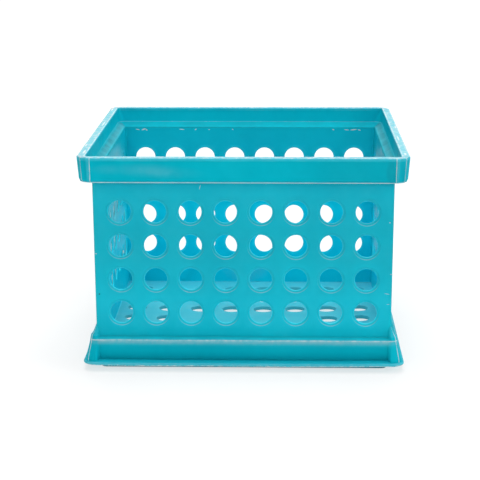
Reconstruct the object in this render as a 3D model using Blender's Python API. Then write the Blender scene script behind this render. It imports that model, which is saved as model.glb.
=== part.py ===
"""Square stacking crate for milk bottles, an injection-moulded open box.

The crate rests on the ground at z = 0 with its centre on the Z axis, and its front looks along -Y.
Every side is the same, so each zone of the moulding is modelled once for the front and turned about
the Z axis for the other three. All dimensions are in metres.
"""
import math

import bmesh
import bpy

# ---- driving dimensions -------------------------------------------------------------------------
HEIGHT = 0.2220            # ground to rim
RIM_HALF = 0.1650          # half the outer width at the rim
WALL_HALF = 0.1505         # half the outer width of the body at the top row of holes
DRAFT = 0.0050             # the body narrows by this much per metre going down
WALL = 0.0028              # general wall thickness
GAP = 0.0003               # joint between neighbouring zones
MITRE = 0.0002             # each end of a side stops this far short of the diagonal, along X

HOLE_PITCH = 0.0354        # between the columns of holes in the walls
HOLE_ROWS = 4
HOLE_COLUMNS = 8
ROW_PITCH = 0.0349
HOLE_RADIUS = 0.0118
TOP_ROW_Z = 0.1643
HOLE_SIDES = 12

RIM_WIDTH = 0.0085         # flat band on top of the collar
RIM_THICK = 0.0033
SKIRT_BOTTOM_Z = 0.1963
SKIRT_LIP = 0.0022         # stepped lip under the skirt: its height
SKIRT_LIP_STEP = 0.0010    # and how far it is set back
SKIRT_TAPER = 0.0019       # the skirt leans in by this much from rim to lip
COLLAR_CORNER = 0.1505     # the collar's round corners are centred on the body's corners

LEDGE_TOP_Z = 0.2049       # sloped step inside the collar
LEDGE_BOTTOM_Z = 0.2001
WALL_TOP_Z = 0.1992
NECK_CORNER = 0.1470

FLOOR_TOP_Z = 0.0103
FLOOR_THICK = 0.0042
FLOOR_HALF = 0.1485
FLOOR_CHAMFER = 0.0012
FLOOR_PITCH = 0.0361           # between columns
FLOOR_ROW_PITCH = 0.0390       # between rows, front to back
FLOOR_RADIUS = 0.0110
FLOOR_ROWS = 7
FLOOR_SIDES = 10
PAD_HALF = (0.0722, 0.0195)    # plain pad in the middle of the floor, without holes

RIDGE_TOP_Z = 0.0352
RIDGE_OUT = 0.0067         # how far the ridge stands out from the body
BAND_FOOT_OUT = 0.0016     # how far the leaning band under it still stands out at its foot

FLANGE_BOTTOM_Z = 0.0064
FLANGE_THICK = 0.0035
FLANGE_HALF = 0.1637
FLANGE_CORNER = 0.1475
CORNER_FLARE = 0.0116      # radius of a corner block at its foot

PLINTH_HALF = 0.1470
PLINTH_THICK = 0.0040
PLINTH_CORNER = 0.1410

SIDES = ("front", "right", "back", "left")
CORNERS = ("front_right", "back_right", "back_left", "front_left")
TEAL = (0.005, 0.402, 0.506)
TEAL_SHADES = {"wall": 1.06, "rim_cap": 1.25, "skirt": 1.0, "neck": 0.9, "shoulder": 0.92,
               "corner_block": 0.86, "flange": 1.0, "plinth": 0.5, "floor_panel": 1.15}


def body_half(z):
    """Half the outer width of the drafted body at height z."""
    return WALL_HALF + DRAFT * (z - TOP_ROW_Z)


# ---- scene helpers ------------------------------------------------------------------------------
def clear_scene():
    for old in list(bpy.data.objects):
        bpy.data.objects.remove(old, do_unlink=True)


def new_collection(name):
    group = bpy.data.collections.new(name)
    bpy.context.scene.collection.children.link(group)
    return group


def plastic(zone):
    """Glossy moulded plastic in the crate's teal, a little lighter or darker from zone to zone."""
    name = "plastic_" + zone
    material = bpy.data.materials.get(name)
    if material:
        return material
    material = bpy.data.materials.new(name)
    material.use_nodes = True
    shader = material.node_tree.nodes["Principled BSDF"]
    shade = TEAL_SHADES[zone]
    shader.inputs["Base Color"].default_value = (*(min(1.0, c * shade) for c in TEAL), 1.0)
    shader.inputs["Roughness"].default_value = 0.42
    shader.inputs["Metallic"].default_value = 0.0
    return material


def add_object(name, mesh, group, turn=0.0):
    piece = bpy.data.objects.new(name, mesh)
    piece.rotation_euler.z = turn
    group.objects.link(piece)
    return piece


def mesh_from(bm, name):
    bmesh.ops.recalc_face_normals(bm, faces=bm.faces)
    mesh = bpy.data.meshes.new(name)
    bm.to_mesh(mesh)
    bm.free()
    return mesh


def cut(piece, cutter):
    boolean = piece.modifiers.new("holes", "BOOLEAN")
    boolean.operation = "DIFFERENCE"
    boolean.solver = "EXACT"
    boolean.object = cutter


# ---- shapes -------------------------------------------------------------------------------------
def side_rail_mesh(name, profile, corner, steps=3):
    """Sweep a closed profile of (half-width, z) points along one side of the crate.

    The profile starts on the diagonal, turns 45 degrees about the corner centre, runs straight
    along the side and turns 45 degrees again, so four rails make a ring with round corners.
    """
    bm = bmesh.new()
    centre_x = corner - MITRE
    diagonal = math.sqrt(0.5)
    verts = [bm.verts.new((-centre_x - (half - corner) * diagonal,
                           -corner - (half - corner) * diagonal, z)) for half, z in profile]
    face = bm.faces.new(verts)
    face = turn_face(bm, face, (-centre_x, -corner, 0.0), steps)
    face = extend_face(bm, face, 2.0 * centre_x)
    turn_face(bm, face, (centre_x, -corner, 0.0), steps)
    return mesh_from(bm, name)


def turn_face(bm, face, centre, steps, angle=math.radians(45)):
    """Turn a face about a vertical axis, leaving a solid behind it. Returns the last face."""
    is_cap = len(bm.faces) == 1
    spun = bmesh.ops.spin(bm, geom=[face], cent=centre, axis=(0, 0, 1), angle=angle, steps=steps)
    if not is_cap:
        bmesh.ops.delete(bm, geom=[face], context="FACES_ONLY")
    return [item for item in spun["geom_last"] if isinstance(item, bmesh.types.BMFace)][0]


def extend_face(bm, face, length):
    """Push a face out along X, leaving a solid behind it. Returns the last face."""
    is_cap = len(bm.faces) == 1
    extruded = bmesh.ops.extrude_face_region(bm, geom=[face])["geom"]
    moved = [item for item in extruded if isinstance(item, bmesh.types.BMVert)]
    bmesh.ops.translate(bm, verts=moved, vec=(length, 0.0, 0.0))
    if not is_cap:
        bmesh.ops.delete(bm, geom=[face], context="FACES_ONLY")
    return [item for item in extruded if isinstance(item, bmesh.types.BMFace)][0]


def straight_rail_mesh(name, profile, half_length):
    """Extrude a closed profile of (half-width, z) points along the middle of one side."""
    bm = bmesh.new()
    face = bm.faces.new([bm.verts.new((-half_length, -half, z)) for half, z in profile])
    extend_face(bm, face, 2.0 * half_length)
    return mesh_from(bm, name)


def slab_mesh(name, half, z_low, z_high, chamfer):
    """Square slab with its four upright edges chamfered."""
    bm = bmesh.new()
    bmesh.ops.create_cube(bm, size=2.0)
    for vert in bm.verts:
        vert.co.x *= half
        vert.co.y *= half
        vert.co.z = z_high if vert.co.z > 0 else z_low
    upright = [edge for edge in bm.edges if edge.verts[0].co.z != edge.verts[1].co.z]
    bmesh.ops.bevel(bm, geom=upright, offset=chamfer, segments=1, affect="EDGES")
    return mesh_from(bm, name)


def hole_grid_mesh(name, centres, radius, length, sides, along_y):
    """One cutter mesh with a cylinder at each centre."""
    bm = bmesh.new()
    for centre in centres:
        made = bmesh.ops.create_cone(bm, cap_ends=True, segments=sides, radius1=radius,
                                     radius2=radius, depth=length)
        if along_y:
            for vert in made["verts"]:
                vert.co.y, vert.co.z = -vert.co.z, vert.co.y
        bmesh.ops.translate(bm, verts=made["verts"], vec=centre)
    return mesh_from(bm, name)


# ---- zones of the moulding ----------------------------------------------------------------------
def wall_mesh():
    """A drafted, mitred panel: a box whose ends follow the diagonals and whose faces lean."""
    low = FLOOR_TOP_Z + GAP
    bm = bmesh.new()
    bmesh.ops.create_cube(bm, size=2.0)
    for vert in bm.verts:
        z = WALL_TOP_Z if vert.co.z > 0 else low
        half = body_half(z) if vert.co.y < 0 else body_half(z) - WALL
        vert.co = (math.copysign(half - MITRE, vert.co.x), -half, z)
    return mesh_from(bm, "wall")


def wall_holes_mesh():
    first = -0.5 * (HOLE_COLUMNS - 1) * HOLE_PITCH
    centres = [(first + column * HOLE_PITCH, -WALL_HALF, TOP_ROW_Z - row * ROW_PITCH)
               for row in range(HOLE_ROWS) for column in range(HOLE_COLUMNS)]
    return hole_grid_mesh("wall_holes", centres, HOLE_RADIUS, 0.02, HOLE_SIDES, along_y=True)


def floor_holes_mesh():
    first_x = -0.5 * (HOLE_COLUMNS - 1) * FLOOR_PITCH
    first_y = -0.5 * (FLOOR_ROWS - 1) * FLOOR_ROW_PITCH
    centres = []
    for row in range(FLOOR_ROWS):
        for column in range(HOLE_COLUMNS):
            x = first_x + column * FLOOR_PITCH
            y = first_y + row * FLOOR_ROW_PITCH
            on_pad = abs(x) < PAD_HALF[0] and abs(y) < PAD_HALF[1]
            if not on_pad:
                centres.append((x, y, FLOOR_TOP_Z))
    return hole_grid_mesh("floor_holes", centres, FLOOR_RADIUS, 0.02, FLOOR_SIDES, along_y=False)


def skirt_profile():
    top = HEIGHT - RIM_THICK - GAP
    lip_top = SKIRT_BOTTOM_Z + SKIRT_LIP
    foot = RIM_HALF - SKIRT_TAPER
    lip = foot - SKIRT_LIP_STEP
    return [(RIM_HALF, top), (foot, lip_top), (lip, lip_top), (lip, SKIRT_BOTTOM_Z),
            (lip - WALL + SKIRT_LIP_STEP, SKIRT_BOTTOM_Z), (RIM_HALF - WALL, top)]


def rim_cap_profile():
    low = HEIGHT - RIM_THICK
    return [(RIM_HALF, low), (RIM_HALF - RIM_WIDTH, low), (RIM_HALF - RIM_WIDTH, HEIGHT),
            (RIM_HALF, HEIGHT)]


def neck_profile():
    """Inner wall of the collar, with the sloped ledge that joins it to the wall below."""
    top = HEIGHT - RIM_THICK - GAP
    inner = RIM_HALF - RIM_WIDTH
    seat = WALL_TOP_Z + GAP
    wall_out = body_half(WALL_TOP_Z)
    return [(inner, top), (inner, LEDGE_TOP_Z), (wall_out - WALL, LEDGE_BOTTOM_Z),
            (wall_out - WALL, seat), (wall_out, seat), (inner + WALL, LEDGE_TOP_Z - 0.5 * WALL),
            (inner + WALL, top)]


def shoulder_profile():
    """Rounded ridge with the band under it, which leans in towards the flange."""
    low = FLANGE_BOTTOM_Z + FLANGE_THICK + GAP
    body = body_half(low)
    nose = body + RIDGE_OUT
    return [(body_half(RIDGE_TOP_Z) + GAP, RIDGE_TOP_Z), (nose - 0.0006, RIDGE_TOP_Z - 0.0018),
            (nose, RIDGE_TOP_Z - 0.0027), (nose, RIDGE_TOP_Z - 0.0044),
            (nose - 0.0008, RIDGE_TOP_Z - 0.0064), (body + BAND_FOOT_OUT, low), (body + GAP, low)]


def corner_block_mesh():
    """Quarter-round block at a corner, from the ridge's radius above to the flange's below."""
    low = FLANGE_BOTTOM_Z + FLANGE_THICK + GAP
    axis = body_half(RIDGE_TOP_Z) + 0.5 * GAP
    core = 0.0005
    tall = RIDGE_TOP_Z - low
    profile = [(core, RIDGE_TOP_Z), (RIDGE_OUT - 0.0006, RIDGE_TOP_Z - 0.0018),
               (RIDGE_OUT, RIDGE_TOP_Z - 0.0027), (RIDGE_OUT, RIDGE_TOP_Z - 0.0044),
               (RIDGE_OUT + 0.0010, low + 0.50 * tall),
               (RIDGE_OUT + 0.0024, low + 0.25 * tall), (CORNER_FLARE, low), (core, low)]
    bm = bmesh.new()
    face = bm.faces.new([bm.verts.new((axis, -axis - radius, z)) for radius, z in profile])
    turn_face(bm, face, (axis, -axis, 0.0), 5, math.radians(90))
    return mesh_from(bm, "corner_block")


def flange_profile():
    inner = FLOOR_HALF + GAP
    top = FLANGE_BOTTOM_Z + FLANGE_THICK
    return [(inner, FLANGE_BOTTOM_Z), (inner, top), (FLANGE_HALF - 0.0006, top),
            (FLANGE_HALF, top - 0.0008), (FLANGE_HALF, FLANGE_BOTTOM_Z + 0.0008),
            (FLANGE_HALF - 0.0006, FLANGE_BOTTOM_Z)]


def plinth_profile():
    top = FLOOR_TOP_Z - FLOOR_THICK - GAP
    inner = PLINTH_HALF - PLINTH_THICK
    return [(inner, 0.0), (inner, top), (PLINTH_HALF, top), (PLINTH_HALF, 0.0006),
            (PLINTH_HALF - 0.0006, 0.0)]


def finish(piece, zone):
    piece.data.materials.clear()
    piece.data.materials.append(plastic(zone))
    piece.data.shade_smooth()
    piece.data.set_sharp_from_angle(angle=math.radians(28))


def build():
    clear_scene()
    crate = new_collection("milk_bottle_crate")
    cutters = new_collection("cutters")

    floor_cutter = add_object("floor_holes", floor_holes_mesh(), cutters)
    wall_cutters = [add_object(f"wall_holes_{side}", wall_holes_mesh(), cutters,
                               math.radians(90) * turn) for turn, side in enumerate(SIDES)]
    for cutter in [floor_cutter, *wall_cutters]:
        cutter.hide_render = True
        cutter.display_type = "WIRE"

    rails = {
        "skirt": side_rail_mesh("skirt", skirt_profile(), COLLAR_CORNER),
        "rim_cap": side_rail_mesh("rim_cap", rim_cap_profile(), COLLAR_CORNER),
        "neck": side_rail_mesh("neck", neck_profile(), NECK_CORNER),
        "flange": side_rail_mesh("flange", flange_profile(), FLANGE_CORNER),
        "plinth": side_rail_mesh("plinth", plinth_profile(), PLINTH_CORNER),
        "shoulder": straight_rail_mesh("shoulder", shoulder_profile(),
                                       body_half(RIDGE_TOP_Z) - 0.5 * GAP),
        "wall": wall_mesh(),
    }
    for turn, side in enumerate(SIDES):
        for zone, mesh in rails.items():
            piece = add_object(f"{zone}_{side}", mesh, crate, math.radians(90) * turn)
            if zone == "wall":
                cut(piece, wall_cutters[turn])
            finish(piece, zone)

    block = corner_block_mesh()
    for turn, corner in enumerate(CORNERS):
        finish(add_object(f"corner_block_{corner}", block, crate, math.radians(90) * turn),
               "corner_block")

    slab = slab_mesh("floor_panel", FLOOR_HALF, FLOOR_TOP_Z - FLOOR_THICK, FLOOR_TOP_Z,
                     FLOOR_CHAMFER)
    floor = add_object("floor_panel", slab, crate)
    cut(floor, floor_cutter)
    finish(floor, "floor_panel")


build()
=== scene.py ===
"""Looks for a milk bottle crate: a square, open-topped crate in teal plastic, scuffed by long use.

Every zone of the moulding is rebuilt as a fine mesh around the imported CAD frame, in metres. All the
meshes keep their origin at the crate's own, so the procedural materials run on from piece to piece.
"""
import math

import bmesh
import bpy
import numpy as np
from mathutils import Matrix, Vector


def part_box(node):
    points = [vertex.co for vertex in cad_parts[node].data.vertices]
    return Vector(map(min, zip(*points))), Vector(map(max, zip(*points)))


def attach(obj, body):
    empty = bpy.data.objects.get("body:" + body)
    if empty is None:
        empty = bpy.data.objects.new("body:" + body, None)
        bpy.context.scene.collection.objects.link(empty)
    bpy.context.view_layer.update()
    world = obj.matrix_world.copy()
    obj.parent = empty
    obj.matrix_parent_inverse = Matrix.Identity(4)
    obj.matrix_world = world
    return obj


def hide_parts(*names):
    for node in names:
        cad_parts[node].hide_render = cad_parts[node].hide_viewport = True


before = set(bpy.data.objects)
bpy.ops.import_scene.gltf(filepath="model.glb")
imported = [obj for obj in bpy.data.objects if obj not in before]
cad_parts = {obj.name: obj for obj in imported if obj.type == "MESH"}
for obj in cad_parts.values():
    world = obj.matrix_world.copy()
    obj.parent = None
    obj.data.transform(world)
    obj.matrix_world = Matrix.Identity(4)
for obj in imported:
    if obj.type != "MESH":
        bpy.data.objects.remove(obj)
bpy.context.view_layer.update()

SIDES = ("front", "right", "back", "left")
CORNERS = ("front_right", "back_right", "back_left", "front_left")
MM = 0.001
SMOOTH_ANGLE = 32              # degrees; a sharper edge than this keeps its crease

# ---- dimensions read from the CAD frame ---------------------------------------------------------
RIM_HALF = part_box("rim_cap_right")[1].x
RIM_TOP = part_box("rim_cap_front")[1].z
RIM_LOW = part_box("rim_cap_front")[0].z
SKIRT_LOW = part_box("skirt_front")[0].z
WALL_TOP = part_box("wall_front")[1].z
WALL_TOP_HALF = -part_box("wall_front")[0].y
FLOOR_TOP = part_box("floor_panel")[1].z
FLOOR_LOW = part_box("floor_panel")[0].z
FLOOR_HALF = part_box("floor_panel")[1].x
RIDGE_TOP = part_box("shoulder_front")[1].z
FLANGE_HALF = -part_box("flange_front")[0].y
FLANGE_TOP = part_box("flange_front")[1].z
FLANGE_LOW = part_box("flange_front")[0].z
PLINTH_HALF = -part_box("plinth_front")[0].y

# ---- dimensions of the detail -------------------------------------------------------------------
DRAFT = 0.0050                 # the body narrows by this much per metre going down
WALL = 2.8 * MM
EDGE_ROUND = 0.9 * MM          # upright outer edges of the body
INNER_ROUND = 2.2 * MM         # upright corners inside it
COLUMNS, ROWS = 8, 4
HOLE_PITCH, ROW_PITCH = 35.4 * MM, 34.9 * MM
TOP_ROW = 164.3 * MM
HOLE_STEPS = 40                # facets round a hole, a multiple of 8
SIDE_STEPS = 48                # steps along a side of the collar or the flange
FLOOR_PITCH = 36.1 * MM        # between columns of floor holes
FLOOR_ROW_PITCH = 39.0 * MM    # between rows
FLOOR_ROWS = 7
FLOOR_SAG = 2.8 * MM           # the floor hangs by this much in the middle
RIM_WIDTH = 8.5 * MM
NECK_HALF = RIM_HALF - RIM_WIDTH
NECK_CORNER = 3.2 * MM         # inner corners at the rim
LEDGE_CORNER = 9.5 * MM        # and where the collar meets its ledge
COLLAR_CORNER = 14.5 * MM      # radius of the collar's outer corners at the rim
FLANGE_CORNER = 13.0 * MM
CORNER_FLARE = 11.4 * MM       # radius of a corner block at its foot
COLLAR_LEAN = 0.080            # the collar leans in by this much per metre going down
BLOCK_WING = 3.5 * MM          # a corner block fades into the ridge over this length
BLOCK_RISE = 11.0 * MM         # how far it flares up the corner above the ridge
JOINT = 0.3 * MM               # gap between the rim cap and the parts of the collar below it
RIM_ROUND = 1.2 * MM           # the collar starts to lean below the rim's rounded edge
SEAT = WALL_TOP + 0.15 * MM    # the wall ends and the ledge starts here, half-way down their joint


def body_half(z):
    """Half the outer width of the body at height z."""
    return WALL_TOP_HALF + DRAFT * (z - WALL_TOP)


def unit(value):
    """The value, held between 0 and 1."""
    return min(1.0, max(0.0, value))


# ---- mesh helpers -------------------------------------------------------------------------------
def turned(points, turns):
    """Points turned about the Z axis by quarter turns, as an array."""
    points = np.asarray(points, float)
    cos, sin = ((1, 0), (0, 1), (-1, 0), (0, -1))[turns % 4]
    x = points[:, 0] * cos - points[:, 1] * sin
    y = points[:, 0] * sin + points[:, 1] * cos
    return np.stack([x, y, points[:, 2]], 1)


def make_piece(name, shape, turns, material):
    """A piece from (points, faces, masks). A mask is wear, scuff, dirt and painted shade and, if given,
    a brightness that paints light and shade.
    """
    points, faces, masks = shape
    mesh = bpy.data.meshes.new(name)
    mesh.from_pydata(turned(points, turns).tolist(), [], faces)
    # The fourth channel is a painted brightness, 1 where none is given.
    colours = np.array([(*mask, 1.0)[:4] for mask in masks], np.float32)
    layer = mesh.color_attributes.new("marks", "FLOAT_COLOR", "POINT")
    layer.data.foreach_set("color", colours.ravel())
    bm = bmesh.new()
    bm.from_mesh(mesh)
    bmesh.ops.recalc_face_normals(bm, faces=bm.faces)
    bm.to_mesh(mesh)
    bm.free()
    mesh.shade_smooth()
    mesh.set_sharp_from_angle(angle=math.radians(SMOOTH_ANGLE))
    mesh.materials.append(material)
    piece = bpy.data.objects.new(name, mesh)
    bpy.context.scene.collection.objects.link(piece)
    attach(piece, "root")
    return piece


def loft_faces(stations, count):
    """The faces of a closed section of count points swept along its stations, with capped ends."""
    faces = []
    for i in range(stations - 1):
        for j in range(count):
            k = (j + 1) % count
            faces.append((i * count + j, (i + 1) * count + j, (i + 1) * count + k, i * count + k))
    faces.append(tuple(range(count)))
    faces.append(tuple((stations - 1) * count + j for j in reversed(range(count))))
    return faces


def rail(profile, path, straight, wave=0.0, seed=0, curl=0.0):
    """One side of a ring: a closed section swept along the side, to the diagonal at each end.

    profile holds (half-width, z, corner radius, wear, scuff, dirt and painted shade) in order round the
    section, and path holds (angle, extra radius, wear, scuff, dirt and painted shade) for the corner,
    from its start to the diagonal. The path's marks show only on the outside, where the corner's radius
    is large.
    straight is the number of steps between the corners. wave lifts and lowers the points by a
    little, and curl lifts the corners, as on a moulding that has warped.
    """
    middle = [(t, 0.0, 0.0, 0.0, 0.0, 0.0) for t in np.linspace(-1, 1, straight + 1)[1:-1]]
    stations = [(-1.0, *step) for step in reversed(path)] + middle + [(1.0, *s) for s in path]
    points, masks = [], []
    for t, angle, out, *path_mask in stations:
        turn = math.radians(angle) * (1 if t > 0 else -1)
        for half, z, radius, wear, scuff, dirt_and_shade in profile:
            centre = half - radius
            reach = radius + out * min(1.0, radius / COLLAR_CORNER)
            x = t * centre + reach * math.sin(turn)
            lift = wave * math.sin(31 * x + seed) * math.cos(73 * x + 2.1 * seed)
            lift += curl * max(0.0, abs(x) / half - 0.6) / 0.4
            points.append((x, -(centre + reach * math.cos(turn)), z + lift))
            on_post = unit((radius - 8 * MM) / (3 * MM))
            masks.append(tuple(max(own, on_post * other)
                               for own, other in zip((wear, scuff, dirt_and_shade), path_mask)))
    return points, loft_faces(len(stations), len(profile)), masks


def perforated(u_lines, v_lines, holes, half_cell, bore, place, depth, face_mask, low_highlight=0.0):
    """A panel with round holes, as a closed shape.

    The panel's face is ruled by u_lines and v_lines, and each hole in holes, a list of centres,
    takes up one cell of half_cell. bore holds (radius, depth, wear, scuff, dirt and painted shade)
    from the outer face to the inner one, and place turns (u, v, depth) into a point. face_mask gives
    the marks at (u, v) on the face or its back, with a painted brightness, and low_highlight is how
    much painted highlight, drawn as wear and scuff, lightens the bottom of a hole's outer step.
    """
    u_lines, v_lines = np.asarray(u_lines), np.asarray(v_lines)
    points, masks, faces, found = [], [], [], {}

    def ruled(i, j, back):
        key = (i, j, back)
        if key not in found:
            found[key] = len(points)
            points.append(place(u_lines[i], v_lines[j], depth if back else 0.0))
            masks.append(face_mask(u_lines[i], v_lines[j], back))
        return found[key]

    def line_index(lines, value):
        return int(np.argmin(np.abs(lines - value)))

    taken = set()
    for centre_u, centre_v in holes:
        low_i, high_i = (line_index(u_lines, centre_u + s * half_cell[0]) for s in (-1, 1))
        low_j, high_j = (line_index(v_lines, centre_v + s * half_cell[1]) for s in (-1, 1))
        taken.update((i, j) for i in range(low_i, high_i) for j in range(low_j, high_j))
        border = []
        for step in range(HOLE_STEPS):
            angle = 2 * math.pi * step / HOLE_STEPS
            longest = max(abs(math.cos(angle)), abs(math.sin(angle)))
            border.append((line_index(u_lines, centre_u + half_cell[0] * math.cos(angle) / longest),
                           line_index(v_lines, centre_v + half_cell[1] * math.sin(angle) / longest)))
        rings = [[ruled(i, j, False) for i, j in border]]
        for radius, deep, *mask in bore:
            ring = []
            for step in range(HOLE_STEPS):
                angle = 2 * math.pi * step / HOLE_STEPS
                ring.append(len(points))
                points.append(place(centre_u + radius * math.cos(angle),
                                    centre_v + radius * math.sin(angle), deep))
                # Painted highlight: the bottom of each hole's outer step is lightened, through wear and
                # scuff, as if lit from above.
                low = low_highlight * max(0.0, -math.sin(angle)) ** 2 if 0.0 < deep < 0.2 * depth else 0.0
                # Painted light and shade: each ring of a hole takes the painted brightness of the face
                # round it.
                painted_brightness = face_mask(centre_u, centre_v, deep > 0.5 * depth)[3]
                masks.append((mask[0] + 0.4 * low, mask[1] + low, mask[2], painted_brightness))
            rings.append(ring)
        rings.append([ruled(i, j, True) for i, j in border])
        for a, b in zip(rings, rings[1:]):
            for step in range(HOLE_STEPS):
                after = (step + 1) % HOLE_STEPS
                faces.append((a[step], a[after], b[after], b[step]))
    last_i, last_j = len(u_lines) - 1, len(v_lines) - 1
    for i in range(last_i):
        for j in range(last_j):
            if (i, j) not in taken:
                for back in (False, True):
                    faces.append(tuple(ruled(*at, back) for at in
                                       ((i, j), (i + 1, j), (i + 1, j + 1), (i, j + 1))))
    rim = [((i, j), (i + 1, j)) for i in range(last_i) for j in (0, last_j)]
    rim += [((i, j), (i, j + 1)) for i in (0, last_i) for j in range(last_j)]
    for a, b in rim:
        faces.append((ruled(*a, False), ruled(*b, False), ruled(*b, True), ruled(*a, True)))
    return points, faces, masks


def cell_lines(centres, half_cell):
    """The ruling across a row of cells: even angles round a hole, carried out to its cell's edge."""
    eighth = HOLE_STEPS // 8
    shares = [math.tan(math.pi / 4 * k / eighth) for k in range(-eighth, eighth + 1)]
    lines = sorted(c + half_cell * share for c in centres for share in shares)
    return [line for k, line in enumerate(lines) if k == 0 or line - lines[k - 1] > 1e-6]


# ---- materials ----------------------------------------------------------------------------------
class Nodes:
    """A small wrapper that keeps a material's node code short."""

    def __init__(self, name):
        self.material = bpy.data.materials.new(name)
        self.material.use_nodes = True
        self.tree = self.material.node_tree
        self.shader = self.tree.nodes["Principled BSDF"]
        self.place = self.add("ShaderNodeTexCoord").outputs["Object"]

    def add(self, kind, **settings):
        node = self.tree.nodes.new(kind)
        for key, value in settings.items():
            setattr(node, key, value)
        return node

    def feed(self, socket, value):
        """Link a socket, or set the value of one."""
        if isinstance(value, bpy.types.NodeSocket):
            self.tree.links.new(value, socket)
        else:
            socket.default_value = value

    def noise(self, scale, detail=3.0, rough=0.55, stretch=None):
        """Noise with features of about 1 / scale metres, drawn out by stretch along each axis."""
        source = self.place
        if stretch:
            mapping = self.add("ShaderNodeMapping", vector_type="TEXTURE")
            self.feed(mapping.inputs["Vector"], source)
            mapping.inputs["Scale"].default_value = stretch
            source = mapping.outputs["Vector"]
        node = self.add("ShaderNodeTexNoise")
        self.feed(node.inputs["Vector"], source)
        for key, value in (("Scale", scale), ("Detail", detail), ("Roughness", rough)):
            node.inputs[key].default_value = value
        return node.outputs["Fac"]

    def math(self, operation, a, b=0.0, clamp=False):
        node = self.add("ShaderNodeMath", operation=operation, use_clamp=clamp)
        self.feed(node.inputs[0], a)
        self.feed(node.inputs[1], b)
        return node.outputs[0]

    def ramp(self, value, low, high, out_low=0.0, out_high=1.0):
        """A smooth step from out_low to out_high as value goes from low to high."""
        node = self.add("ShaderNodeMapRange", interpolation_type="SMOOTHSTEP")
        for key, item in (("Value", value), ("From Min", low), ("From Max", high),
                          ("To Min", out_low), ("To Max", out_high)):
            self.feed(node.inputs[key], item)
        return node.outputs["Result"]

    def mix(self, factor, a, b):
        node = self.add("ShaderNodeMix", data_type="RGBA")
        self.feed(node.inputs["Factor"], factor)
        self.feed(node.inputs[6], a)
        self.feed(node.inputs[7], b)
        return node.outputs[2]

    def spots(self, marks, soft):
        """How much of a mark is at each point.

        A mark is (centre, half-sizes, tilt in degrees) and, for a faint one, its strength.
        """
        total = None
        for centre, sizes, tilt, *strength in marks:
            mapping = self.add("ShaderNodeMapping", vector_type="TEXTURE")
            self.feed(mapping.inputs["Vector"], self.place)
            mapping.inputs["Location"].default_value = centre
            mapping.inputs["Rotation"].default_value = (0.0, math.radians(tilt), 0.0)
            mapping.inputs["Scale"].default_value = sizes
            length = self.add("ShaderNodeVectorMath", operation="LENGTH")
            self.feed(length.inputs[0], mapping.outputs["Vector"])
            spot = self.ramp(length.outputs["Value"], soft, 1.0, *(strength or [1.0]), 0.0)
            total = spot if total is None else self.math("MAXIMUM", total, spot)
        return total


TEAL_DEEP = (0.0004, 0.402, 0.512, 1.0)
TEAL_LIGHT = (0.0010, 0.452, 0.562, 1.0)
PALE = (0.34, 0.50, 0.54, 1.0)
WHITE = (0.56, 0.62, 0.63, 1.0)
# Dark teal for the dirt channel, which carries painted shade in creases, recesses and under overhangs
# as well as some dirt.
GRIME_AND_SHADE = (0.012, 0.075, 0.085, 1.0)


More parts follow.
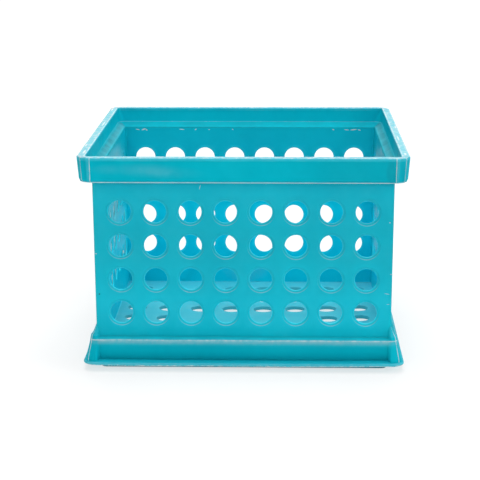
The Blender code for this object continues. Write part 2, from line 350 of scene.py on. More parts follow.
def plastic(name, shade=1.0, fade=0.0, haze=0.05, rough=0.42, gloss=0.06, broken=0.9,
            white_marks=(), pale_marks=(), dark_marks=()):
    """Moulded plastic in teal: mottled, hazed by rubbing, worn to white along its edges, and painted
    with light and shade.

    fade bleaches it all over, haze in cloudy patches, and broken sets how ragged its worn edges are.
    shade scales the whole colour as painted light and shade for the zone; the dirt channel and
    dark_marks mix in dark teal, mostly as painted shade; and the marks' alpha scales the colour as
    painted light and shade.
    Some light passes through the thin plastic, so part of the colour comes from below the surface.
    """
    n = Nodes(name)
    layer = n.add("ShaderNodeVertexColor", layer_name="marks")
    split = n.add("ShaderNodeSeparateColor")
    n.feed(split.inputs[0], layer.outputs["Color"])
    wear, scuff, dirt_and_shade = (split.outputs[k] for k in ("Red", "Green", "Blue"))

    cloud = n.noise(9.0, 2.0)
    mottle = n.noise(85.0, 3.0)
    grain = n.noise(1500.0, 2.0)
    chips = n.noise(190.0, 5.0, 0.68)
    blotch = n.noise(38.0, 4.0, 0.6)
    along = n.noise(700.0, 3.0, 0.6, (16.0, 16.0, 1.0))
    upright = n.noise(600.0, 3.0, 0.6, (1.0, 1.0, 14.0))

    shading = n.math("ADD", n.math("MULTIPLY", cloud, 0.7), n.math("MULTIPLY", mottle, 0.3))
    # shade scales the teal for the zone as painted light and shade.
    deep = tuple(shade * c for c in TEAL_DEEP[:3]) + (1.0,)
    light = tuple(shade * c for c in TEAL_LIGHT[:3]) + (1.0,)
    colour = n.mix(n.ramp(shading, 0.3, 0.7), deep, light)
    # Painted light and shade: the colour is scaled by the painted brightness in the marks' alpha.
    painted_light = n.add("ShaderNodeVectorMath", operation="SCALE")
    n.feed(painted_light.inputs[0], colour)
    n.feed(painted_light.inputs["Scale"], layer.outputs["Alpha"])
    colour = painted_light.outputs["Vector"]

    rubbed = n.ramp(n.math("ADD", blotch, n.math("MULTIPLY", mottle, 0.3)), 0.45, 0.95)
    fine = n.math("MAXIMUM", n.ramp(along, 0.58, 0.80), n.ramp(upright, 0.62, 0.84))
    hazed = n.math("ADD", n.math("MULTIPLY", rubbed, haze), n.math("MULTIPLY", fine, 0.4 * haze))
    hazed = n.math("ADD", hazed, fade)
    streaks = n.ramp(n.math("ADD", chips, n.math("MULTIPLY", along, 0.5)), 0.40, 1.05, 0.45, 1.0)
    scuffed = n.math("MULTIPLY", scuff, streaks)
    if pale_marks:
        grazed = n.math("ADD", n.math("MULTIPLY", upright, 0.15), n.math("MULTIPLY", blotch, 1.0))
        grazed = n.ramp(grazed, 0.35, 0.80, 0.3, 1.0)
        scuffed = n.math("ADD", scuffed, n.math("MULTIPLY", n.spots(pale_marks, 0.0), grazed))
    pale = n.math("ADD", hazed, scuffed, clamp=True)
    colour = n.mix(pale, colour, PALE)

    ragged = n.math("ADD", wear, n.math("MULTIPLY", n.math("SUBTRACT", chips, 0.5), broken))
    worn = n.ramp(ragged, 0.38, 0.80)
    worn = n.math("MULTIPLY", worn, n.ramp(wear, 0.02, 0.25))
    if white_marks:
        worn = n.math("MAXIMUM", worn, n.spots(white_marks, 0.35))
    colour = n.mix(worn, colour, WHITE)

    # Dirt and painted shade: most of what this darkens is painted shade, in creases, recesses and under
    # overhangs.
    grimed_and_shaded = n.math("MULTIPLY", dirt_and_shade, n.ramp(blotch, 0.3, 0.75, 0.55, 1.0))
    if dark_marks:
        grimed_and_shaded = n.math("MAXIMUM", grimed_and_shaded, n.spots(dark_marks, 0.4))
    colour = n.mix(grimed_and_shaded, colour, GRIME_AND_SHADE)
    n.feed(n.shader.inputs["Base Color"], colour)

    roughness = n.math("ADD", n.ramp(mottle, 0.2, 0.8, rough - 0.05, rough + 0.07),
                       n.math("MULTIPLY", n.math("MAXIMUM", pale, worn), 0.22), clamp=True)
    n.feed(n.shader.inputs["Roughness"], roughness)
    n.shader.inputs["Specular IOR Level"].default_value = gloss
    n.shader.inputs["Subsurface Weight"].default_value = 0.4
    n.shader.inputs["Subsurface Radius"].default_value = (0.3, 1.0, 1.1)
    n.shader.inputs["Subsurface Scale"].default_value = 4.0 * MM

    height = n.math("ADD", n.math("MULTIPLY", grain, 0.25), n.math("MULTIPLY", mottle, 1.0))
    height = n.math("ADD", height, n.math("MULTIPLY", worn, -0.8))
    height = n.math("ADD", height, n.math("MULTIPLY", fine, -0.2))
    bump = n.add("ShaderNodeBump")
    bump.inputs["Strength"].default_value = 0.22
    bump.inputs["Distance"].default_value = 0.0003
    n.feed(bump.inputs["Height"], height)
    n.feed(n.shader.inputs["Normal"], bump.outputs["Normal"])
    return n.material


# ---- sections -----------------------------------------------------------------------------------
def even_path(steps=12):
    """A plain round corner."""
    return [(45.0 * k / steps, 0.0, 0.0, 0.0, 0.0) for k in range(steps + 1)]


def post_path():
    """The collar's corner, as (angle, extra radius, wear, scuff, painted shade).

    An upright edge ends the flat side. Past it come a rubbed flat, a shallow groove darkened with
    painted shade, and a second worn edge on the diagonal.
    """
    return [(0.0, 0.0, 0.0, 0.0, 0.0), (0.8, 0.02 * MM, 0.20, 0.0, 0.0),
            (1.8, 0.34 * MM, 0.80, 0.2, 0.0), (3.4, 0.38 * MM, 0.62, 0.2, 0.0),
            (5.0, 0.34 * MM, 0.08, 0.14, 0.0), (9.0, 0.22 * MM, 0.0, 0.12, 0.0),
            (14.0, 0.08 * MM, 0.0, 0.08, 0.0), (18.0, -0.04 * MM, 0.0, 0.0, 0.0),
            (20.5, -0.26 * MM, 0.0, 0.0, 0.22), (24.0, -0.42 * MM, 0.0, 0.0, 0.22),
            (29.0, -0.42 * MM, 0.0, 0.0, 0.10), (34.0, -0.28 * MM, 0.0, 0.0, 0.05),
            (38.5, 0.02 * MM, 0.0, 0.0, 0.0), (42.0, 0.30 * MM, 0.30, 0.05, 0.0),
            (45.0, 0.42 * MM, 0.70, 0.10, 0.0)]


def rim_cap_section():
    """The flat top of the collar, worn pale, with rubbed edges outside and in."""
    low, top = RIM_LOW - JOINT, RIM_TOP
    outer = RIM_HALF - COLLAR_LEAN * (top - RIM_ROUND - low)
    r, inner_r = COLLAR_CORNER, NECK_CORNER
    return [(outer, low, r, 0.0, 0.0, 0.0),
            (RIM_HALF - 0.05 * MM, top - 1.5 * MM, r, 0.05, 0.10, 0.0),
            (RIM_HALF - 0.10 * MM, top - 0.8 * MM, r, 0.10, 0.25, 0.0),
            (RIM_HALF - 0.45 * MM, top - 0.22 * MM, r, 0.52, 0.60, 0.0),
            (RIM_HALF - 1.00 * MM, top, r, 0.54, 0.68, 0.0),
            (RIM_HALF - 2.60 * MM, top, r - 1.5 * MM, 0.36, 0.66, 0.0),
            (NECK_HALF + 2.20 * MM, top, inner_r + 2.2 * MM, 0.42, 0.66, 0.0),
            (NECK_HALF + 0.90 * MM, top, inner_r + 0.9 * MM, 0.66, 0.70, 0.0),
            (NECK_HALF + 0.30 * MM, top - 0.25 * MM, inner_r + 0.3 * MM, 0.34, 0.40, 0.0),
            (NECK_HALF, top - 0.90 * MM, inner_r, 0.10, 0.10, 0.0),
            (NECK_HALF, top - 1.60 * MM, inner_r, 0.0, 0.0, 0.0),
            (NECK_HALF, low, inner_r + 0.5 * MM, 0.0, 0.0, 0.0)]


def skirt_section():
    """The collar's outer wall, leaning in, with a step darkened by a painted shadow and a worn lip at
    its foot.
    """
    top = RIM_LOW - JOINT
    at_top = RIM_HALF - COLLAR_LEAN * (RIM_TOP - RIM_ROUND - top)
    step = SKIRT_LOW + 2.2 * MM
    at_step = at_top - COLLAR_LEAN * (top - step)
    r_top = COLLAR_CORNER - (RIM_HALF - at_top)
    r_step = r_top - (at_top - at_step)
    lip = at_step - 0.9 * MM
    r_lip = r_step - 0.9 * MM
    inner = at_step - 3.0 * MM
    return [(at_top, top, r_top, 0.0, 0.0, 0.0),
            (at_step + COLLAR_LEAN * 3.0 * MM, step + 3.0 * MM, r_step + 0.4 * MM, 0.0, 0.0, 0.0),
            (at_step, step + 0.35 * MM, r_step, 0.06, 0.0, 0.0),
            # Painted shadow in the step under the collar's face.
            (at_step - 0.25 * MM, step + 0.05 * MM, r_step - 0.25 * MM, 0.0, 0.0, 0.20),
            (lip - 0.15 * MM, step - 0.05 * MM, r_lip - 0.15 * MM, 0.0, 0.0, 0.35),
            (lip, step - 0.55 * MM, r_lip, 0.0, 0.05, 0.05),
            (lip + 0.15 * MM, SKIRT_LOW + 0.9 * MM, r_lip + 0.15 * MM, 0.30, 0.25, 0.0),
            (lip + 0.05 * MM, SKIRT_LOW + 0.35 * MM, r_lip + 0.05 * MM, 0.74, 0.50, 0.0),
            (lip - 0.35 * MM, SKIRT_LOW, r_lip - 0.35 * MM, 0.70, 0.50, 0.0),
            (inner, SKIRT_LOW, r_lip - 2.1 * MM, 0.1, 0.0, 0.0),
            (at_top - 2.6 * MM, top, r_top - 2.6 * MM, 0.0, 0.0, 0.0)]


def neck_section(rub, ledge_darkening):
    """The collar's inside, standing on a ledge; its corners open out on the way down.

    rub says how scuffed the ledge is, and ledge_darkening how much darker it is made, partly as dirt
    and partly as painted shade. The wall just under the ledge's edge is darker too.
    """
    top = RIM_LOW - JOINT
    wall_in = WALL_TOP_HALF - WALL
    ledge_top = SEAT + 5.7 * MM
    ledge_low = SEAT + 1.0 * MM
    r_top, r = NECK_CORNER + 0.5 * MM, LEDGE_CORNER
    return [(NECK_HALF, top, r_top, 0.0, 0.0, 0.0),
            (NECK_HALF, ledge_top + 1.2 * MM, r, 0.0, 0.0, 0.0),
            (NECK_HALF - 0.15 * MM, ledge_top + 0.4 * MM, r, 0.40, 0.30, 0.0),
            (NECK_HALF - 0.6 * MM, ledge_top, r - 0.6 * MM, 0.10, 0.0, 0.5 * ledge_darkening),
            (NECK_HALF - 1.8 * MM, ledge_top - 0.7 * MM, r - 1.6 * MM, 0.0, 0.4 * rub, 1.2 * ledge_darkening),
            (NECK_HALF - 3.6 * MM, ledge_top - 1.8 * MM, r - 3.0 * MM, 0.0, 0.8 * rub, 1.3 * ledge_darkening),
            (wall_in + 2.2 * MM, ledge_low + 1.2 * MM, INNER_ROUND + 1.6 * MM, 0.0, 0.8 * rub,
             1.1 * ledge_darkening),
            (wall_in + 1.1 * MM, ledge_low + 0.55 * MM, INNER_ROUND + 0.9 * MM, 0.04, 0.6 * rub,
             0.6 * ledge_darkening),
            (wall_in + 0.35 * MM, ledge_low - 0.1 * MM, INNER_ROUND + 0.3 * MM, 0.06, 0.2 * rub, 0.45),
            (wall_in, ledge_low - 1.0 * MM, INNER_ROUND, 0.02, 0.0, 0.50),
            (wall_in, SEAT, INNER_ROUND, 0.0, 0.0, 0.0),
            (WALL_TOP_HALF, SEAT, EDGE_ROUND, 0.0, 0.0, 0.0),
            (WALL_TOP_HALF + 1.5 * MM, ledge_low, EDGE_ROUND + 1.0 * MM, 0.0, 0.0, 0.0),
            (NECK_HALF + 2.0 * MM, ledge_top - 1.2 * MM, r + 2.0 * MM, 0.0, 0.0, 0.0),
            (NECK_HALF + 2.6 * MM, ledge_top, r + 2.6 * MM, 0.0, 0.0, 0.0),
            (NECK_HALF + 2.6 * MM, top, r_top + 2.6 * MM, 0.0, 0.0, 0.0)]


def ridge_steps():
    """(stand-off from the body, z, wear, scuff, painted shade) down the ridge and the band under it;
    painted shade darkens the crease where the wall meets the ridge and the foot of the band at the
    flange.
    """
    low = FLANGE_TOP
    top = RIDGE_TOP
    return [(-0.30 * MM, top, 0.0, 0.0, 0.0),
            (0.02 * MM, top - 0.60 * MM, 0.0, 0.0, 0.0),
            # Painted shade in the crease between the wall and the ridge.
            (0.40 * MM, top - 1.10 * MM, 0.0, 0.05, 0.30),
            (1.10 * MM, top - 1.45 * MM, 0.0, 0.0, 0.05),
            (5.20 * MM, top - 2.20 * MM, 0.0, 0.05, 0.0),
            (6.00 * MM, top - 2.50 * MM, 0.22, 0.15, 0.0),
            (6.50 * MM, top - 2.95 * MM, 0.56, 0.35, 0.0),
            (6.80 * MM, top - 3.60 * MM, 0.56, 0.60, 0.0),
            (7.00 * MM, top - 4.60 * MM, 0.20, 0.62, 0.0),
            (7.05 * MM, top - 5.95 * MM, 0.06, 0.42, 0.0),
            (6.90 * MM, top - 7.50 * MM, 0.0, 0.16, 0.0),
            (6.55 * MM, top - 9.00 * MM, 0.0, 0.03, 0.0),
            (5.80 * MM, top - 11.4 * MM, 0.0, 0.0, 0.0),
            (4.40 * MM, low + 9.5 * MM, 0.0, 0.0, 0.0),
            # Painted shade at the foot of the band, over the flange.
            (3.00 * MM, low + 5.0 * MM, 0.0, 0.0, 0.04),
            (2.00 * MM, low + 2.0 * MM, 0.0, 0.0, 0.12),
            (1.60 * MM, low, 0.0, 0.0, 0.20)]


def shoulder_shape(seed):
    """The straight ridge and band along one side, between the corner blocks.

    The ridge's nose waves up and down a little, as its worn edge does; its foot stays straight.
    """
    body = body_half(RIDGE_TOP)
    end = body - BLOCK_WING
    section = [(body + out, z, *mask) for out, z, *mask in ridge_steps()]
    section += [(body - 1.0 * MM, FLANGE_TOP, 0, 0, 0), (body - 1.0 * MM, RIDGE_TOP, 0, 0, 0)]
    points, masks = [], []
    stations = np.linspace(-end, end, 61)
    for x in stations:
        fade = unit((end - abs(x)) / (10 * MM))
        wave = 0.20 * MM * fade * math.sin(58 * x + seed) * math.cos(127 * x + 2 * seed)
        for half, z, *mask in section:
            on_nose = RIDGE_TOP - 8.9 * MM < z < RIDGE_TOP - 0.1 * MM
            points.append((x, -half, z + wave if on_nose else z))
            masks.append(tuple(mask))
    return points, loft_faces(len(stations), len(section)), masks


def block_shape():
    """A corner block: the ridge turned round the corner, flaring out below it and up the wall.

    above holds (stand-off, height over the ridge) up the corner, and radii the stand-offs down the
    ridge's nose, in millimetres; below the nose the block flares out at a steady slope.
    """
    body = body_half(RIDGE_TOP)
    above = [(-0.40, 11.0), (0.10, 10.2), (1.50, 7.6), (3.00, 5.0), (4.70, 2.4), (5.90, 1.1)]
    flat = [(-0.40 * MM, RIDGE_TOP + rise * MM, 0.0, 0.0, 0.0) for _, rise in above]
    radii = [6.05, 6.2, 6.3, 6.35, 6.45, 6.6, 6.75, 6.85, 6.95, 7.1]
    at_corner = [(out * MM, RIDGE_TOP + rise * MM, 0.0, 0.06, 0.0) for out, rise in above]
    for k, (_, z, wear, scuff, _) in enumerate(ridge_steps()):
        out = radii[k] * MM if k < len(radii) else 7.1 * MM + 0.26 * (RIDGE_TOP - 5.9 * MM - z)
        at_corner.append((min(out, CORNER_FLARE), z, 1.1 * wear, 0.4 * scuff, 0.0))
    at_side = flat + ridge_steps()
    stations = [(-BLOCK_WING + BLOCK_WING * k / 6, 0.0) for k in range(6)]
    stations += [(0.0, 90.0 * k / 20) for k in range(21)]
    stations += [(BLOCK_WING * k / 6, 90.0) for k in range(1, 7)]
    points, masks = [], []
    for along, angle in stations:
        share = 1.0 - abs(along) / BLOCK_WING
        share = share * share * (3 - 2 * share)
        turn = math.radians(angle)
        edge = unit(1 - abs(angle - 45) / 8)
        column = []
        for (r0, z, *m0), (r1, _, *m1) in zip(at_side, at_corner):
            radius = r0 + (r1 - r0) * share
            mask = [a + (b - a) * share for a, b in zip(m0, m1)]
            radius *= 1 + 0.05 * edge
            mask[0] = max(mask[0], (1.0 if z > RIDGE_TOP - 6 * MM else 0.74) * edge)
            column.append((radius, z, mask))
        column += [(-2.0 * MM, z, [0, 0, 0]) for z in (FLANGE_TOP, RIDGE_TOP + BLOCK_RISE)]
        for radius, z, mask in column:
            if along < 0:
                point = (body + along, -body - radius, z)
            elif along > 0:
                point = (body + radius, -body + along, z)
            else:
                point = (body + radius * math.sin(turn), -body - radius * math.cos(turn), z)
            points.append(point)
            masks.append(tuple(mask))
    return points, loft_faces(len(stations), len(column)), masks


def flange_section():
    """The thin flange round the base, worn along its lower edge, with painted shade on its top next to
    the band.
    """
    top, low, edge, r = FLANGE_TOP, FLANGE_LOW, FLANGE_HALF, FLANGE_CORNER
    inner = FLOOR_HALF
    return [(inner, low, 1.0 * MM, 0.0, 0.0, 0.0),
            (inner, top, 1.0 * MM, 0.0, 0.0, 0.0),
            # Painted shade on the flange's top where it meets the band.
            (inner + 2.0 * MM, top, 3.0 * MM, 0.0, 0.0, 0.20),
            (inner + 4.0 * MM, top, 4.0 * MM, 0.0, 0.0, 0.05),
            (edge - 3.0 * MM, top - 0.15 * MM, r - 3.0 * MM, 0.0, 0.04, 0.0),
            (edge - 1.3 * MM, top - 0.35 * MM, r - 1.3 * MM, 0.05, 0.10, 0.0),
            (edge - 0.45 * MM, top - 0.80 * MM, r - 0.45 * MM, 0.38, 0.30, 0.0),
            (edge, top - 1.60 * MM, r, 0.22, 0.18, 0.0),
            (edge - 0.05 * MM, low + 0.8 * MM, r - 0.05 * MM, 0.56, 0.40, 0.0),
            (edge - 0.70 * MM, low, r - 0.7 * MM, 0.54, 0.20, 0.0)]


def plinth_section():
    """The foot ring, darkened with painted shadow, as it stands in the shade under the flange."""
    top = FLOOR_LOW
    outer, inner = PLINTH_HALF, PLINTH_HALF - 4.0 * MM
    return [(inner, 0.0, 2.0 * MM, 0.2, 0.0, 0.3), (inner, top, 2.0 * MM, 0.0, 0.0, 0.3),
            (outer, top, 6.0 * MM, 0.0, 0.0, 0.6), (outer, 1.2 * MM, 6.0 * MM, 0.0, 0.0, 0.75),
            (outer - 0.25 * MM, 0.4 * MM, 5.75 * MM, 0.0, 0.0, 0.75),
            (outer - 0.9 * MM, 0.0, 5.1 * MM, 0.3, 0.0, 0.5)]


# ---- panels -------------------------------------------------------------------------------------
def wall_shape():
    """A wall panel: 8 columns and 4 rows of holes with dished mouths, between two upright edges."""
    half_cell = (HOLE_PITCH / 2, ROW_PITCH / 2)
    columns = [HOLE_PITCH * (c - (COLUMNS - 1) / 2) for c in range(COLUMNS)]
    rows = [TOP_ROW - ROW_PITCH * r for r in range(ROWS)]
    u_cells = cell_lines(columns, half_cell[0])
    v_cells = cell_lines(rows, half_cell[1])
    limit = u_cells[-1]
    edge_steps = [("flat", 0.5), ("flat", 0.9), ("flat", 1.0), ("arc", 11.0), ("arc", 23.0),
                  ("arc", 34.0), ("arc", 45.0)]
    u_lines = [-limit - k - 1 for k in reversed(range(len(edge_steps)))] + u_cells
    u_lines += [limit + k + 1 for k in range(len(edge_steps))]
    bottom = FLOOR_TOP - 0.2 * MM
    v_lines = [bottom] + list(np.linspace(FLOOR_TOP + 1.8 * MM, v_cells[0], 4)[:-1]) + v_cells
    v_lines += list(np.linspace(v_cells[-1], SEAT, 4)[1:])
    holes = [(u, v) for u in columns for v in rows]

    def place(u, v, depth):
        half = body_half(v) - depth
        radius = EDGE_ROUND + (INNER_ROUND - EDGE_ROUND) * depth / WALL
        if abs(u) <= limit + 1e-6:
            return (u, -half, v)
        kind, amount = edge_steps[int(round(abs(u) - limit)) - 1]
        side = math.copysign(1.0, u)
        centre = half - radius
        if kind == "flat":
            return (side * (limit + (centre - limit) * amount), -half, v)
        turn = math.radians(amount)
        return (side * (centre + radius * math.sin(turn)), -(centre + radius * math.cos(turn)), v)

    bore = [(14.80 * MM, 0.0, 0.0, 0.0, 0.0),
            (14.20 * MM, 0.0, 0.0, 0.0, 0.0),
            (13.95 * MM, 0.08 * MM, 0.0, 0.02, 0.0),
            # Painted shadow: a dark ring on the step just inside each hole's outer edge.
            (13.55 * MM, 0.46 * MM, 0.0, 0.0, 0.16),
            (13.20 * MM, 0.62 * MM, 0.0, 0.0, 0.16),
            (12.60 * MM, 0.82 * MM, 0.0, 0.0, 0.03),
            (11.95 * MM, 1.02 * MM, 0.0, 0.02, 0.0),
            (11.62 * MM, 1.20 * MM, 0.10, 0.12, 0.0),
            (11.43 * MM, 1.45 * MM, 0.27, 0.22, 0.0),
            (11.40 * MM, 1.75 * MM, 0.02, 0.02, 0.0),
            (11.45 * MM, 2.62 * MM, 0.02, 0.02, 0.0),
            (11.75 * MM, WALL, 0.05, 0.0, 0.0),
            (12.60 * MM, WALL, 0.0, 0.0, 0.0)]

    def face_mask(u, v, back):
        """Painted light and shade. Outside, painted darkest half-way up and, as painted shade, at the
        foot;
        inside, painted lighter lower down against the shade in the crate, with a pale painted highlight
        along the floor."""
        if back:
            # Pale painted highlight along the floor: scuff and a painted brightness of 1.75.
            if v < FLOOR_TOP + 1.0 * MM:
                return (0.0, 0.25, 0.0, 1.75)
            return (0.0, -0.06, 0.0, 0.97 + 0.46 * unit((0.172 - v) / 0.08))
        # Painted shade at the foot of the wall, above the ridge.
        foot = unit((0.056 - v) / 0.018)
        painted_brightness = min(1.08, 0.94 + 0.15 * ((v - 0.135) / 0.065) ** 2) - 0.08 * foot
        return (0.0, -0.03 * foot, 0.0, painted_brightness)

    return perforated(u_lines, v_lines, holes, half_cell, bore, place, WALL, face_mask, 0.60)


def floor_shape():
    """The perforated floor: 8 by 7 holes, with a plain pad in the middle, sagging a little."""
    half_cell = (FLOOR_PITCH / 2, FLOOR_ROW_PITCH / 2)
    columns = [FLOOR_PITCH * (c - (COLUMNS - 1) / 2) for c in range(COLUMNS)]
    rows = [FLOOR_ROW_PITCH * (r - (FLOOR_ROWS - 1) / 2) for r in range(FLOOR_ROWS)]
    u_cells, v_cells = cell_lines(columns, half_cell[0]), cell_lines(rows, half_cell[1])
    foot = body_half(FLOOR_TOP) - WALL
    margin = [foot - 4.5 * MM, foot - 1.3 * MM, foot - 0.3 * MM, FLOOR_HALF]
    u_lines = [-u for u in reversed(margin[1:])] + u_cells + margin[1:]
    v_lines = [-v for v in reversed(margin)] + v_cells + margin
    holes = [(u, v) for u in columns for v in rows
             if not (abs(u) < 2 * FLOOR_PITCH and abs(v) < 0.5 * FLOOR_ROW_PITCH)]
    thick = FLOOR_TOP - FLOOR_LOW

    def place(u, v, depth):
        sag = FLOOR_SAG * (1 - (u / FLOOR_HALF) ** 2) * (1 - (v / FLOOR_HALF) ** 2)
        return (u, v, FLOOR_TOP - depth - sag)

    # Painted shade down the bore walls of the floor holes.
    bore = [(12.2 * MM, 0.0, 0.0, 0.05, 0.0), (11.6 * MM, 0.0, 0.05, 0.10, 0.0),
            (11.25 * MM, 0.15 * MM, 0.12, 0.12, 0.0), (11.0 * MM, 0.55 * MM, 0.0, 0.0, 0.18),
            (11.0 * MM, thick - 0.4 * MM, 0.0, 0.0, 0.34), (11.3 * MM, thick, 0.0, 0.0, 0.34),
            (12.2 * MM, thick, 0.0, 0.0, 0.0)]

    def face_mask(u, v, back):
        """Painted lighter towards the back, with a pale painted highlight along the walls."""
        at_wall = max(abs(u), abs(v)) >= foot - 0.5 * MM
        if at_wall and not back:
            return (0.0, 0.10, 0.0, 1.5)
        return (0.0, 0.0, 0.0, 1.0 + 0.22 * unit((v - 0.035) / 0.070))

    return perforated(u_lines, v_lines, holes, half_cell, bore, place, thick, face_mask)


# ---- marks of use, and patches of painted shade -------------------------------------------------
# A mark is (centre, half-sizes, tilt in degrees); it shows wherever the surface runs through it.
FRONT_Y = -body_half(0.11)
INSIDE = body_half(0.12) - WALL
COLLAR_PALE = [((-0.088, -0.1635, 0.2085), (0.058, 0.02, 0.0090), 3.0, 0.12),
               ((-0.125, -0.1635, 0.2100), (0.036, 0.02, 0.0070), 0.0, 0.07)]
# Painted shade: the right half of the collar's front and its right corner facets are darkened.
COLLAR_PAINTED_SHADE = [((0.150, -0.1635, 0.2100), (0.110, 0.02, 0.040), 0.0, 0.10),
               ((0.146, -0.1635, 0.2080), (0.008, 0.02, 0.018), 0.0, 0.22),
               ((0.1585, -0.1600, 0.2080), (0.005, 0.02, 0.018), 0.0, 0.18)]
COLLAR_WHITE = [((-0.149, -0.164, 0.2200), (0.0015, 0.004, 0.0012), 0.0)]
WALL_WHITE = [((-0.0430, FRONT_Y, 0.1898), (0.0032, 0.004, 0.00032), -72.0),
              ((0.1466, FRONT_Y, 0.1541), (0.0008, 0.004, 0.0007), 0.0),
              ((0.1488, FRONT_Y, 0.1006), (0.0007, 0.004, 0.0008), 0.0),
              ((0.1452, FRONT_Y, 0.0802), (0.0034, 0.004, 0.0003), 8.0),
              ((0.1464, FRONT_Y, 0.0691), (0.0020, 0.004, 0.0002), -4.0),
              ((-0.1485, FRONT_Y, 0.1209), (0.0010, 0.004, 0.0007), 20.0),
              ((-INSIDE, 0.0800, 0.1185), (0.004, 0.0004, 0.0085), 0.0),
              ((-INSIDE, 0.0030, 0.0930), (0.004, 0.0004, 0.0080), 0.0),
              ((-INSIDE, 0.1000, 0.0590), (0.004, 0.0004, 0.0035), 0.0),
              ((-INSIDE, -0.0110, 0.0580), (0.004, 0.0004, 0.0025), 0.0)]
WALL_DARK = [((-0.1461, FRONT_Y, 0.0786), (0.0011, 0.004, 0.0010), 0.0)]
WALL_PALE = [((-INSIDE, 0.010, 0.134), (0.006, 0.060, 0.036), 0.0, 0.55),
             ((-INSIDE, 0.025, 0.184), (0.006, 0.095, 0.018), 0.0, 0.55),
             ((INSIDE, 0.106, 0.175), (0.006, 0.020, 0.008), 0.0, 0.5),
             ((INSIDE, 0.020, 0.194), (0.006, 0.030, 0.006), 0.0, 0.6),
             ((INSIDE, -0.060, 0.150), (0.006, 0.012, 0.080), 0.0, 0.4),
             ((-0.006, INSIDE, 0.026), (0.036, 0.006, 0.022), 0.0, 0.50)]
RIM_WHITE = [((-0.1622, 0.1420, 0.2216), (0.0016, 0.0130, 0.004), 0.0),
             ((-0.1604, 0.0400, 0.2216), (0.0012, 0.0200, 0.004), 0.0),
             ((-0.1628, -0.0950, 0.2216), (0.0014, 0.0100, 0.004), 0.0),
             ((-0.1600, -0.1320, 0.2216), (0.0016, 0.0140, 0.004), 0.0),
             ((0.1606, -0.0500, 0.2216), (0.0012, 0.0180, 0.004), 0.0),
             ((0.1628, 0.0200, 0.2216), (0.0010, 0.0120, 0.004), 0.0),
             ((0.1610, -0.1400, 0.2216), (0.0018, 0.0080, 0.004), 0.0)]
LEDGE_CHIPS = [((-0.117, 0.1486, 0.1982), (0.020, 0.004, 0.0006), 3.0),
               ((-0.011, 0.1486, 0.1985), (0.006, 0.004, 0.0005), 0.0),
               ((0.092, 0.1486, 0.1984), (0.014, 0.004, 0.0006), -2.0),
               ((0.119, 0.1486, 0.1982), (0.003, 0.004, 0.0006), 0.0)]
LEDGE_NICKS = [((-0.1330, 0.1478, 0.1972), (0.0030, 0.004, 0.0006), 12.0),
               ((-0.1258, 0.1478, 0.1974), (0.0034, 0.004, 0.0010), -20.0),
               ((-0.1225, 0.1478, 0.1967), (0.0016, 0.004, 0.0009), 30.0),
               ((-0.0805, 0.1478, 0.1974), (0.0040, 0.004, 0.0006), 4.0),
               ((-0.0640, 0.1478, 0.1973), (0.0016, 0.004, 0.0007), -35.0),
               ((-0.0480, 0.1478, 0.1972), (0.0012, 0.004, 0.0005), 0.0),
               ((-0.0200, 0.1478, 0.1974), (0.0012, 0.004, 0.0006), 40.0),
               ((0.0992, 0.1478, 0.1974), (0.0016, 0.004, 0.0008), 20.0),
               ((0.1150, 0.1478, 0.1972), (0.0036, 0.004, 0.0006), 5.0),
               ((0.1232, 0.1478, 0.1974), (0.0050, 0.004, 0.0008), -6.0),
               ((0.1300, 0.1478, 0.1970), (0.0022, 0.004, 0.0007), 14.0)]

# shade lightens or darkens each zone's copy of the one teal plastic as painted light and shade.
MATERIALS = {
    "wall": plastic("worn_teal_wall", shade=1.01, fade=0.015, haze=0.015, gloss=0.055,
                    white_marks=WALL_WHITE + LEDGE_NICKS, pale_marks=WALL_PALE, dark_marks=WALL_DARK),
    "rim_cap": plastic("worn_teal_rim", haze=0.06, rough=0.50, broken=1.3,
                       white_marks=RIM_WHITE),
    "skirt": plastic("worn_teal_skirt", shade=0.94, haze=0.004, broken=0.5, gloss=0.015,
                     pale_marks=COLLAR_PALE, white_marks=COLLAR_WHITE, dark_marks=COLLAR_PAINTED_SHADE),
    "neck": plastic("worn_teal_neck", haze=0.004, gloss=0.015, white_marks=LEDGE_CHIPS + LEDGE_NICKS),
    "shoulder": plastic("worn_teal_ridge", shade=0.96, haze=0.004, broken=0.5, gloss=0.02),
    "corner_block": plastic("worn_teal_corner", shade=0.94, haze=0.006, broken=0.6, gloss=0.02),
    "flange": plastic("worn_teal_flange", shade=0.97, haze=0.002, gloss=0.02),
    # The foot's colour is scaled to 0.6 and darkened all over as painted shadow.
    "plinth": plastic("worn_teal_foot_painted_shadow", shade=0.6, haze=0.01),
    "floor_panel": plastic("worn_teal_floor", fade=0.14, haze=0.08, rough=0.46, gloss=0.04),
}

# ---- pieces -------------------------------------------------------------------------------------
wall = wall_shape()
block = block_shape()
for turns, side in enumerate(SIDES):
    # The ledges are darkened partly as dirt and partly as painted shade, less at the back.
    rub, ledge_darkening = (0.0, 0.26) if side == "back" else (0.30, 0.50)
    shapes = {
        "wall": wall,
        "rim_cap": rail(rim_cap_section(), post_path(), SIDE_STEPS, 0.06 * MM, 1.7 * turns),
        "skirt": rail(skirt_section(), post_path(), SIDE_STEPS),
        "neck": rail(neck_section(rub, ledge_darkening), even_path(), SIDE_STEPS),
        "shoulder": shoulder_shape(2.3 * turns),
        "flange": rail(flange_section(), even_path(), SIDE_STEPS, 0.10 * MM, 0.9 * turns, 0.7 * MM),
        "plinth": rail(plinth_section(), even_path(6), 4),
    }
    for zone, shape in shapes.items():
        piece = make_piece(f"{side}_{zone}_moulding", shape, turns, MATERIALS[zone])
        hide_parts(f"{zone}_{side}")

for turns, corner in enumerate(CORNERS):
    piece = make_piece(f"{corner}_block_moulding", block, turns, MATERIALS["corner_block"])
    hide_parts(f"corner_block_{corner}")

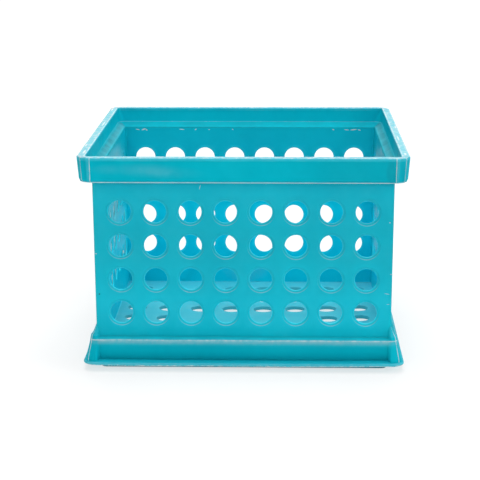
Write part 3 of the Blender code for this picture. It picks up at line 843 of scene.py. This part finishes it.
piece = make_piece("perforated_floor_moulding", floor_shape(), 0, MATERIALS["floor_panel"])
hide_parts("floor_panel")


# ---- studio -------------------------------------------------------------------------------------
GLOW_NEAR, GLOW_FAR = 0.66, 1.05
CAMERA_PLACE = (0.03882, -1.61240, 0.49621)
CAMERA_LENS = 112.58
CAMERA_TURN = (-1.645, 13.843, -0.163)      # degrees right of +Y, down, and about its own axis
LIT_POINT = (0.0, 0.0, 0.1)
SOFTBOXES = {                               # place, size, power
    "low_softbox": ((-0.15, -2.30, 0.95), (1.6, 0.9), 16.5),
    "key_softbox": ((-0.35, -1.70, 1.80), (1.6, 1.2), 10.5),
    "overhead_softbox": ((0.0, 0.0, 2.30), (1.4, 1.4), 39.0),
    "back_softbox": ((0.0, 1.80, 1.80), (1.6, 1.2), 34.0),
    "left_softbox": ((-2.00, -0.50, 1.00), (1.4, 1.4), 5.0),
    "right_softbox": ((2.00, -0.50, 1.00), (1.4, 1.4), 24.0),
}


def make_ground():
    """Lit paper: it glows a little, as a light table does, so that it stays white round the crate."""
    bm = bmesh.new()
    bmesh.ops.create_grid(bm, x_segments=2, y_segments=2, size=14.0)
    mesh = bpy.data.meshes.new("studio_floor")
    bm.to_mesh(mesh)
    bm.free()
    n = Nodes("lit_paper")
    shader = n.shader
    shader.inputs["Base Color"].default_value = (0.30, 0.30, 0.30, 1.0)
    shader.inputs["Roughness"].default_value = 0.9
    shader.inputs["Specular IOR Level"].default_value = 0.05
    shader.inputs["Emission Color"].default_value = (1.0, 1.0, 1.0, 1.0)
    place = n.add("ShaderNodeVectorMath", operation="LENGTH")
    n.feed(place.inputs[0], n.place)
    n.feed(shader.inputs["Emission Strength"],
           n.ramp(place.outputs["Value"], 0.8, 2.4, GLOW_NEAR, GLOW_FAR))
    mesh.materials.append(n.material)
    ground = bpy.data.objects.new("studio_floor", mesh)
    bpy.context.scene.collection.objects.link(ground)


def make_softbox(name, place, size, power):
    """A rectangular area light that looks at the crate."""
    light = bpy.data.lights.new(name, "AREA")
    light.shape = "RECTANGLE"
    light.size, light.size_y = size
    light.energy = power
    box = bpy.data.objects.new(name, light)
    box.location = place
    box.rotation_euler = (Vector(LIT_POINT) - Vector(place)).to_track_quat("-Z", "Y").to_euler()
    bpy.context.scene.collection.objects.link(box)


def make_camera():
    """The camera stands in front of the crate, a little to the right, and looks down at it."""
    camera = bpy.data.cameras.new("camera")
    camera.lens = CAMERA_LENS
    camera.sensor_width = 36.0
    camera.clip_start, camera.clip_end = 0.05, 60.0
    yaw, pitch, roll = (math.radians(angle) for angle in CAMERA_TURN)
    forward = Vector((math.sin(yaw) * math.cos(pitch), math.cos(yaw) * math.cos(pitch),
                      -math.sin(pitch)))
    right = Vector((math.cos(yaw), -math.sin(yaw), 0.0))
    up = right.cross(forward)
    rolled_right = right * math.cos(roll) + up * math.sin(roll)
    rolled_up = up * math.cos(roll) - right * math.sin(roll)
    turn = Matrix((rolled_right, rolled_up, -forward)).transposed()
    holder = bpy.data.objects.new("camera", camera)
    holder.matrix_world = Matrix.Translation(CAMERA_PLACE) @ turn.to_4x4()
    bpy.context.scene.collection.objects.link(holder)
    bpy.context.scene.camera = holder


def make_world(strength):
    """An even white light from all round."""
    world = bpy.data.worlds.new("white_studio")
    world.use_nodes = True
    background = world.node_tree.nodes["Background"]
    background.inputs["Color"].default_value = (1.0, 1.0, 1.0, 1.0)
    background.inputs["Strength"].default_value = strength
    bpy.context.scene.world = world


make_ground()
make_world(0.02)
for name, (place, size, power) in SOFTBOXES.items():
    make_softbox(name, place, size, power)
make_camera()
bpy.context.scene.view_settings.view_transform = "Standard"
